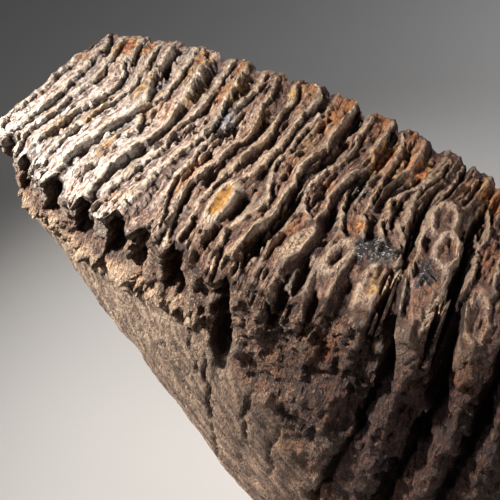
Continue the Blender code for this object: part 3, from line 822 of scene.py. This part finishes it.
def shape_tooth():
    """The lattice moved to the tooth's surface, with its masks as attributes."""
    row_line, row_within = row_table()
    block = lattice_block(len(row_line))
    mesh = block.data
    at = place_lattice(mesh, row_line, row_within)
    relief, fibre, rim, cut = press_flanks(at)
    top = at.top
    worn = worn_surface(at.x[top], at.y[top], at.row[top])
    surface, enamel, dentine, amber, lee = (hang_down(at, found) for found in worn)
    surface = surface * (0.55 + 0.45 * fade(at.far - at.y, 0, 6))
    lower_places(at, surface)
    points = np.column_stack([at.x, at.y, at.z])
    mesh.vertices.foreach_set("co", points.astype(np.float32).ravel())
    mesh.update()
    normals = vectors(mesh.vertices, "normal")

    masks = paint_masks(at, enamel, dentine, amber, fibre, rim)
    masks["hollow"] = hollow_mask(at, surface, lee, relief, cut)
    points = points + normals * roughness_shift(at, masks)[:, None]
    points[:, 2] = np.maximum(points[:, 2], -CROWN_HEIGHT)
    points = (points - (MIDDLE_X, MIDDLE_Y, -CROWN_HEIGHT)) * MM
    mesh.vertices.foreach_set("co", points.astype(np.float32).ravel())
    for name in MASKS:
        attribute = mesh.attributes.new(name, "FLOAT", "POINT")
        attribute.data.foreach_set("value", masks[name].astype(np.float32))
    run = np.column_stack([np.where(top, at.row * RUN_PER_ROW, at.x), at.y, at.z]) * MM
    attribute = mesh.attributes.new("run", "FLOAT_VECTOR", "POINT")
    attribute.data.foreach_set("vector", run.astype(np.float32).ravel())
    mesh.update()
    return block


def thin_faces(thing, limit):
    """Takes faces away where the surface is plainest, and least on the worn surface and near flank."""
    points = vectors(thing.data.vertices, "co") / MM
    worn = fade(points[:, 2], CROWN_HEIGHT - 12, CROWN_HEIGHT - 6) * fall(points[:, 0], 35, 55)
    near = fade(-points[:, 1], 5, 15) * fade(points[:, 2], 20, 50) * fall(points[:, 0], 40, 60)
    share = 1 - np.maximum(0.75 * worn, 0.35 * near)
    group = thing.vertex_groups.new(name="plain")
    steps = np.rint(share * 20) / 20
    for step in np.unique(steps):
        group.add(np.flatnonzero(steps == step).tolist(), float(step), "REPLACE")
    triangles = sum(len(face.vertices) - 2 for face in thing.data.polygons)
    thinner = thing.modifiers.new("thin", "DECIMATE")
    thinner.ratio = limit / triangles
    thinner.vertex_group = group.name
    thinner.vertex_group_factor = 1e-4
    deselect_all()
    thing.select_set(True)
    bpy.context.view_layer.objects.active = thing
    bpy.ops.object.modifier_apply(modifier=thinner.name)
    thing.vertex_groups.clear()


# ---- colours ----
CEMENT, CEMENT_PALE, CEMENT_WORN = (0.090, 0.031, 0.017), (0.320, 0.127, 0.062), (0.54, 0.285, 0.140)
CEMENT_STAIN = (0.20, 0.062, 0.022)
CEMENT_SPECK, CEMENT_FLECK = (0.012, 0.009, 0.009), (0.56, 0.44, 0.32)
DENTINE, DENTINE_PALE, DENTINE_WORN = (0.150, 0.065, 0.040), (0.43, 0.255, 0.155), (0.60, 0.44, 0.33)
DENTINE_STAIN, DENTINE_SPECK = (0.42, 0.165, 0.045), (0.03, 0.018, 0.014)
ENAMEL, ENAMEL_PALE, ENAMEL_STAIN = (0.38, 0.24, 0.150), (0.74, 0.58, 0.41), (0.60, 0.355, 0.130)
ENAMEL_SPECK, ENAMEL_FLECK = (0.05, 0.034, 0.028), (0.76, 0.70, 0.62)
FIBRE, FIBRE_PALE, FIBRE_GAP = (0.215, 0.135, 0.090), (0.62, 0.455, 0.320), (0.05, 0.030, 0.022)
CHALK, CHALK_PALE = (0.15, 0.072, 0.036), (0.56, 0.37, 0.21)
AMBER = (0.46, 0.215, 0.035)
OCHRE, RED_RUST = (0.60, 0.36, 0.125), (0.62, 0.165, 0.032)
CRUST_RUST, DARK_RUST = (0.36, 0.105, 0.026), (0.10, 0.035, 0.016)
# Pale colour for bleaching with a painted highlight, and a painted highlight for the crumbs' peaks.
PALE_AND_GLARE, CRUMB_HIGHLIGHT = (0.80, 0.735, 0.67), (0.80, 0.73, 0.66)
# Dark lines along the fine streaks, and painted shade in the crumbs' pits and in the hollows, lee slopes,
# alcoves and crevices.
CLEFT_DARK, PIT_SHADE, HOLLOW_SHADE = (0.045, 0.028, 0.022), (0.060, 0.032, 0.024), (0.052, 0.024, 0.017)
# Painted highlight for the peaks of the grit on the crust.
GRIT_HIGHLIGHT = (0.74, 0.52, 0.34)
# The pale speck colour of the grain patches is a painted glint.
GRAIN, GRAIN_GREY, GRAIN_PAINTED_GLINT = (0.009, 0.006, 0.006), (0.22, 0.205, 0.22), (0.62, 0.60, 0.61)
# Paler colour of high places: rubbing wear, partly a painted highlight.
RUB_AND_HIGHLIGHT = (0.60, 0.46, 0.33)
BUMP_HEIGHT = 0.0014  # metres
# Colours that others are multiplied by.
GROOVE_SHADE = (0.60, 0.60, 0.60)
BACK_BROWN, BACK_SHADE = (0.68, 0.545, 0.49), (0.84, 0.84, 0.84)
UPPER_FLANK_SHADE = (0.48, 0.46, 0.445)
# Painted shade with some soiling, for the back of the near flank.
SOILING_SHADE = (0.44, 0.30, 0.25)


# ---- materials ----
class Nodes:
    """Short ways to build a node tree."""

    def __init__(self, tree):
        self.tree = tree

    def add(self, kind, inputs=None, **settings):
        """A new node with these inputs and settings."""
        node = self.tree.nodes.new(kind)
        for name, value in settings.items():
            setattr(node, name, value)
        for name, value in (inputs or {}).items():
            self.feed(node.inputs[name], value)
        return node

    def feed(self, socket, value):
        """Gives an input another node's output, or a plain value."""
        if isinstance(value, bpy.types.NodeSocket):
            self.tree.links.new(value, socket)
        elif isinstance(value, tuple) and len(value) == 3 and socket.type == "RGBA":
            socket.default_value = (*value, 1.0)
        else:
            socket.default_value = value

    def attribute(self, name, field="Fac"):
        """An attribute of the mesh."""
        return self.add("ShaderNodeAttribute", attribute_name=name).outputs[field]

    def math(self, operation, first, second, clamp=False):
        """A number worked out from two others."""
        inputs = {0: first, 1: second}
        return self.add("ShaderNodeMath", inputs, operation=operation, use_clamp=clamp).outputs[0]

    def times(self, first, second):
        """The product of two numbers."""
        return self.math("MULTIPLY", first, second)

    def total(self, first, *others):
        """The sum of several numbers."""
        for other in others:
            first = self.math("ADD", first, other)
        return first

    def ramp(self, value, low, high, start=0.0, end=1.0):
        """Goes smoothly from start to end while the value goes from low to high."""
        inputs = {"Value": value, "From Min": low, "From Max": high, "To Min": start, "To Max": end}
        node = self.add("ShaderNodeMapRange", inputs, interpolation_type="SMOOTHSTEP")
        return node.outputs["Result"]

    def between(self, mask, start, end):
        """Goes from start to end with a mask."""
        return self.ramp(mask, 0.0, 1.0, start, end)

    def mix(self, share, first, second, blend="MIX"):
        """The first colour with this share of the second one over it."""
        inputs = {0: share, 6: first, 7: second}
        return self.add("ShaderNodeMix", inputs, data_type="RGBA", blend_type=blend).outputs[2]

    def coats(self, colour, *coats):
        """A colour with coats over it, one after another: (share, colour) or (share, colour, blend)."""
        for share, coat, *blend in coats:
            colour = self.mix(share, colour, coat, *blend)
        return colour

    def noise(self, place, scale, detail, rough):
        """Soft noise."""
        inputs = {"Vector": place, "Scale": scale, "Detail": detail, "Roughness": rough,
                  "Lacunarity": 2.0}
        return self.add("ShaderNodeTexNoise", inputs).outputs[0]

    def stretched(self, place, turn, lengths):
        """Places for a pattern that is turned by these angles and drawn out by these lengths."""
        inputs = {"Vector": place, "Rotation": turn, "Scale": lengths}
        return self.add("ShaderNodeMapping", inputs, vector_type="TEXTURE").outputs[0]

    def group(self, tree, **inputs):
        """The outputs of a node group with these inputs."""
        return self.add("ShaderNodeGroup", inputs, node_tree=tree).outputs


def new_group(name, scale, *outputs):
    """An empty node group that takes a place and a scale, and gives these numbers."""
    group = bpy.data.node_groups.new(name, "ShaderNodeTree")
    group.interface.new_socket("Place", in_out="INPUT", socket_type="NodeSocketVector")
    socket = group.interface.new_socket("Scale", in_out="INPUT", socket_type="NodeSocketFloat")
    socket.default_value = scale
    for label in outputs:
        group.interface.new_socket(label, in_out="OUTPUT", socket_type="NodeSocketFloat")
    nodes = Nodes(group)
    return group, nodes, nodes.add("NodeGroupInput").outputs, nodes.add("NodeGroupOutput").inputs


def speckle_group():
    """Mineral grains: sparse dark and pale specks."""
    group, nodes, given, out = new_group("mineral_speckle", 900.0, "Dark", "Pale")
    inputs = {"Vector": given["Place"], "Scale": given["Scale"]}
    grains = nodes.add("ShaderNodeTexVoronoi", inputs, feature="F1").outputs["Color"]
    draws = nodes.add("ShaderNodeSeparateColor", {0: grains}).outputs
    nodes.feed(out["Dark"], nodes.ramp(draws[0], 0.70, 0.82))
    nodes.feed(out["Pale"], nodes.ramp(draws[1], 0.84, 0.92))
    return group


def strand_group():
    """Streaks that run with the growth of the tooth, for fibres and splintery grain."""
    group, nodes, given, out = new_group("growth_strands", 500.0, "Streak", "Fine")
    nodes.feed(out["Streak"], nodes.noise(given["Place"], given["Scale"], 5.0, 0.6))
    fine_scale = nodes.times(given["Scale"], 2.7)
    nodes.feed(out["Fine"], nodes.noise(given["Place"], fine_scale, 4.0, 0.65))
    return group


def tooth_patterns(nodes):
    """Masks, stains and streaks that the colour, the roughness and the bumps share."""
    place = nodes.add("ShaderNodeTexCoord").outputs["Object"]
    run = nodes.attribute("run", "Vector")
    mask = SimpleNamespace(**{name: nodes.attribute(name) for name in MASKS})
    strands = strand_group()
    along_ridges = nodes.stretched(run, (0, 0, 0), (1.0, 6.0, 3.3))
    down_roots = nodes.stretched(place, (0, math.radians(-34), 0), (1.0, 1.0, 11.0))
    axes = nodes.add("ShaderNodeSeparateXYZ", {0: place}).outputs
    on_side = nodes.math("ADD", mask.crust, mask.fibre, clamp=True)
    return SimpleNamespace(
        mask=mask, x=axes["X"], z=axes["Z"], on_side=on_side, on_top=nodes.math("SUBTRACT", 1.0, on_side),
        speckle=nodes.group(speckle_group(), Place=place, Scale=3000.0),
        ridges=nodes.group(strands, Place=along_ridges, Scale=900.0),
        roots=nodes.group(strands, Place=down_roots, Scale=700.0),
        patches=nodes.noise(place, 75.0, 5.0, 0.6),
        stains=nodes.noise(place, 46.0, 4.0, 0.55),
        mottle=nodes.noise(place, 520.0, 6.0, 0.7),
        crumbs=nodes.noise(nodes.stretched(run, (0, 0, 0), (1.0, 1.6, 1.3)), 1150.0, 3.0, 0.6),
        gleam=nodes.ramp(nodes.noise(place, 1300.0, 3.0, 0.8), 0.585, 0.635))


def clean_colour(nodes, look):
    """Cement, dentine, enamel and fibrous root, each where its mask says, with painted shade on the
    cement of the worn surface and pale bleaching with a painted highlight, before any dirt.
    """
    mask, mottle, dark, pale = look.mask, look.mottle, look.speckle["Dark"], look.speckle["Pale"]
    cement = nodes.coats(
        nodes.mix(nodes.ramp(look.patches, 0.35, 0.65), CEMENT, CEMENT_PALE),
        (nodes.ramp(mottle, 0.47, 0.64), CEMENT_WORN),
        (nodes.ramp(look.stains, 0.58, 0.72, 0.0, 0.6), CEMENT_STAIN),
        (nodes.times(dark, 0.85), CEMENT_SPECK),
        (nodes.times(pale, 0.6), CEMENT_FLECK),
        (look.on_top, GROOVE_SHADE, "MULTIPLY"))
    dentine = nodes.coats(
        nodes.mix(nodes.ramp(look.ridges["Streak"], 0.38, 0.62), DENTINE, DENTINE_PALE),
        (nodes.ramp(mottle, 0.50, 0.66, 0.0, 0.6), DENTINE_WORN),
        (nodes.times(dark, 0.7), DENTINE_SPECK),
        (nodes.ramp(look.stains, 0.48, 0.64, 0.0, 0.8), DENTINE_STAIN))
    enamel = nodes.coats(
        nodes.mix(nodes.ramp(look.ridges["Fine"], 0.36, 0.60), ENAMEL, ENAMEL_PALE),
        (nodes.ramp(look.patches, 0.5, 0.70, 0.0, 0.6), ENAMEL_STAIN),
        (nodes.times(dark, 0.7), ENAMEL_SPECK),
        (nodes.times(pale, 0.3), ENAMEL_FLECK))
    fibre = nodes.coats(
        nodes.mix(nodes.ramp(look.roots["Streak"], 0.36, 0.64), FIBRE, FIBRE_PALE),
        (nodes.ramp(look.roots["Fine"], 0.58, 0.70, 0.0, 0.8), FIBRE_GAP))
    chalk = nodes.mix(nodes.ramp(mottle, 0.4, 0.62), CHALK, CHALK_PALE)
    # Pale where the bleaching mask lies, which is partly a painted highlight.
    bleach = nodes.times(mask.bleach, nodes.ramp(look.ridges["Streak"], 0.40, 0.60, 0.05, 0.75))
    return nodes.coats(
        cement,
        (mask.dentine, dentine),
        (nodes.ramp(mask.enamel, 0.15, 0.85), enamel),
        (mask.fibre, fibre),
        (nodes.times(mask.pale, 0.75), chalk),
        (mask.amber, AMBER),
        (bleach, PALE_AND_GLARE))


def aged_colour(nodes, look, base):
    """The clean colour with browning, dark streak lines, rust, mineral grains, rubbing wear and soiling,
    with painted shade at the back of the top, in pits, hollows and lee slopes, on the upper flanks and
    down the back of the near flank, and painted highlights on crumbs, grit, grain glints and high places.
    """
    mask, crumbs = look.mask, look.crumbs
    # Painted shade: the worn surface is darker towards the back.
    back_top_shade = nodes.times(look.on_top, nodes.ramp(look.x, -0.065, 0.02))
    # Dark along the low lines of the fine streaks, which the bumps sink too.
    cleft = nodes.times(nodes.ramp(look.ridges["Fine"], 0.40, 0.33, 0.0, 0.85),
                        nodes.math("SUBTRACT", 1.0, mask.fibre))
    # Painted shade in the pits of the crumbs, which the bumps sink too.
    pitted = nodes.times(nodes.ramp(crumbs, 0.46, 0.36, 0.0, 0.75),
                         nodes.between(mask.amber, 1.0, 0.2))
    # Painted highlight on the peaks of the crumbs, where the pale mask lies.
    lit_crumbs = nodes.times(nodes.ramp(crumbs, 0.55, 0.66, 0.0, 0.6), mask.bleach)
    # Painted highlight on the peaks of the grit on the crust.
    lit_grit = nodes.times(nodes.ramp(crumbs, 0.57, 0.64, 0.0, 0.65), mask.crust)
    rusty = nodes.times(nodes.ramp(mask.rust, 0.0, 0.55, 0.0, 0.9),
                        nodes.ramp(look.ridges["Streak"], 0.26, 0.47))
    rust = nodes.mix(nodes.ramp(mask.rust, 0.5, 0.8), OCHRE, RED_RUST)
    rust = nodes.mix(nodes.times(mask.crust, 0.8), rust, CRUST_RUST)
    rust = nodes.mix(nodes.ramp(look.mottle, 0.42, 0.60), DARK_RUST, rust)
    grains = nodes.mix(nodes.ramp(mask.grains, 0.6, 0.85), GRAIN, GRAIN_GREY)
    # Pale specks in the grain patches: painted glints.
    grains = nodes.mix(look.gleam, grains, GRAIN_PAINTED_GLINT)
    # High places paler: rubbing wear, partly a painted highlight.
    rubbed_and_lit = nodes.times(nodes.ramp(mask.hollow, -0.75, -0.15, 0.3, 0.0),
                         nodes.between(mask.soil, 1.0, 0.2))
    upper = nodes.times(look.on_side, nodes.ramp(look.z, 0.030, 0.085))
    upper = nodes.times(upper, nodes.between(mask.pale, 1.0, 0.35))
    return nodes.coats(
        base,
        (nodes.ramp(look.x, -0.055, 0.03), BACK_BROWN, "MULTIPLY"),
        (back_top_shade, BACK_SHADE, "MULTIPLY"),
        (cleft, CLEFT_DARK),
        (pitted, PIT_SHADE),
        (lit_crumbs, CRUMB_HIGHLIGHT),
        (lit_grit, GRIT_HIGHLIGHT),
        # Painted shade in the low places, lee slopes, alcoves and crevices.
        (nodes.ramp(mask.hollow, 0.0, 0.85, 0.0, 0.70), HOLLOW_SHADE),
        (rusty, rust),
        (nodes.ramp(mask.grains, 0.12, 0.5, 0.0, 0.93), grains),
        (rubbed_and_lit, RUB_AND_HIGHLIGHT),
        (upper, UPPER_FLANK_SHADE, "MULTIPLY"),
        (mask.soil, SOILING_SHADE, "MULTIPLY"))


def tooth_roughness(nodes, mask):
    """Smooth on the enamel, the amber plate and the grains, and dull on the crust and the fibre."""
    return nodes.total(
        nodes.ramp(mask.enamel, 0.2, 0.9, 0.56, 0.36),
        nodes.between(mask.crust, 0.0, 0.20),
        nodes.between(mask.fibre, 0.0, 0.12),
        nodes.times(mask.amber, -0.10),
        nodes.times(mask.grains, -0.15))


def fine_relief(nodes, look):
    """Height of the relief that is finer than the mesh."""
    mask = look.mask
    return nodes.total(
        nodes.times(look.mottle, nodes.between(mask.crust, 0.7, 1.9)),
        nodes.times(look.ridges["Fine"], 1.5),
        nodes.times(look.ridges["Streak"], 0.8),
        nodes.times(look.crumbs, nodes.between(mask.crust, 1.3, 2.4)),
        nodes.times(look.gleam, nodes.times(mask.grains, 0.35)),
        nodes.times(nodes.times(look.roots["Fine"], mask.fibre), 0.8),
        nodes.times(look.speckle["Dark"], -0.30),
        nodes.times(look.speckle["Pale"], 0.15))


def new_material(name):
    """A new material, its nodes and its shader's inputs."""
    material = bpy.data.materials.new(name)
    material.use_nodes = True
    tree = material.node_tree
    return material, Nodes(tree), tree.nodes["Principled BSDF"].inputs


def fossil_material():
    """Mineral-stained enamel, dentine, cementum and root, blended by the masks."""
    material, nodes, shader = new_material("fossil_tooth")
    look = tooth_patterns(nodes)
    nodes.feed(shader["Base Color"], aged_colour(nodes, look, clean_colour(nodes, look)))
    nodes.feed(shader["Roughness"], tooth_roughness(nodes, look.mask))
    nodes.feed(shader["Specular IOR Level"], 0.4)
    bumps = {"Height": fine_relief(nodes, look), "Distance": BUMP_HEIGHT, "Strength": 1.0}
    nodes.feed(shader["Normal"], nodes.add("ShaderNodeBump", bumps).outputs[0])
    return material


# ---- stage, lights and camera ----
PAPER, PAPER_ROUGHNESS, PAPER_SIZE = (0.268, 0.260, 0.252), 0.9, 8.0
# Round lamps: (name, place, aim, diameter, watts, colour, spread in degrees), in metres.
LAMPS = (
    ("key", (-0.345, -0.125, 0.33), (-0.02, -0.015, 0.06), 0.05, 0.57, (1.0, 0.975, 0.94), 45.0),
    ("fill", (0.38, 0.30, 0.42), (0.14, 0.30, 0.0), 0.25, 0.78, (0.97, 0.98, 1.0), 80.0),
    ("bounce", (-0.20, -0.34, 0.05), (0.0, -0.02, 0.02), 0.09, 0.075, (1.0, 0.95, 0.90), 45.0),
    ("back", (0.46, 0.06, 0.26), (0.03, 0.0, 0.07), 0.25, 0.16, (1.0, 0.96, 0.93), 50.0),
)
ROOM_COLOUR, ROOM_STRENGTH = (0.9, 0.92, 1.0, 1.0), 0.08
EYE = (122.4, -123.9, 130.4)  # the camera's place in the chewing frame
FORWARD, RIGHT = (-0.2636, 0.6393, -0.7223), (0.9127, 0.4076, 0.0276)
SENSOR_WIDTH, LENS = 36.0, 56.448
CLIP_START, CLIP_END = 0.01, 20.0


def add_stage():
    """A plain sheet of paper under the tooth."""
    deselect_all()
    bpy.ops.mesh.primitive_plane_add(size=PAPER_SIZE, location=(0, 0, 0))
    floor = bpy.context.object
    floor.name = "floor"
    material, nodes, shader = new_material("pale_paper")
    nodes.feed(shader["Base Color"], PAPER)
    nodes.feed(shader["Roughness"], PAPER_ROUGHNESS)
    floor.data.materials.append(material)


def add_lights():
    """The lamps, and a faint room light from everywhere."""
    for name, place, aim, size, power, colour, spread in LAMPS:
        lamp = bpy.data.lights.new(name, "AREA")
        lamp.shape = "DISK"
        lamp.size = size
        lamp.energy = power
        lamp.color = colour
        lamp.spread = math.radians(spread)
        thing = bpy.data.objects.new(name, lamp)
        thing.location = place
        thing.rotation_euler = (Vector(aim) - Vector(place)).to_track_quat("-Z", "Y").to_euler()
        bpy.context.scene.collection.objects.link(thing)
    world = bpy.data.worlds.new("room")
    bpy.context.scene.world = world
    world.use_nodes = True
    background = world.node_tree.nodes["Background"].inputs
    background["Color"].default_value = ROOM_COLOUR
    background["Strength"].default_value = ROOM_STRENGTH


def add_camera():
    """Looks down at 46 degrees on the near front part of the chewing surface."""
    forward, right = Vector(FORWARD).normalized(), Vector(RIGHT).normalized()
    up = right.cross(forward)
    data = bpy.data.cameras.new("camera")
    data.sensor_width = SENSOR_WIDTH
    data.lens = LENS
    data.clip_start, data.clip_end = CLIP_START, CLIP_END
    camera = bpy.data.objects.new("camera", data)
    turn = Matrix((right, up, -forward)).transposed().to_4x4()
    place = Vector((EYE[0] - MIDDLE_X, EYE[1] - MIDDLE_Y, EYE[2] + CROWN_HEIGHT)) * MM
    camera.matrix_world = Matrix.Translation(place) @ turn
    bpy.context.scene.collection.objects.link(camera)
    bpy.context.scene.camera = camera


# ---- put together ----
tooth = shape_tooth()
thin_faces(tooth, FACE_LIMIT)
tooth.data.shade_smooth()
tooth.data.materials.append(fossil_material())
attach(tooth, "root")
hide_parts("mammoth_tooth")
add_stage()
add_lights()
add_camera()
bpy.context.scene.view_settings.view_transform = "Standard"
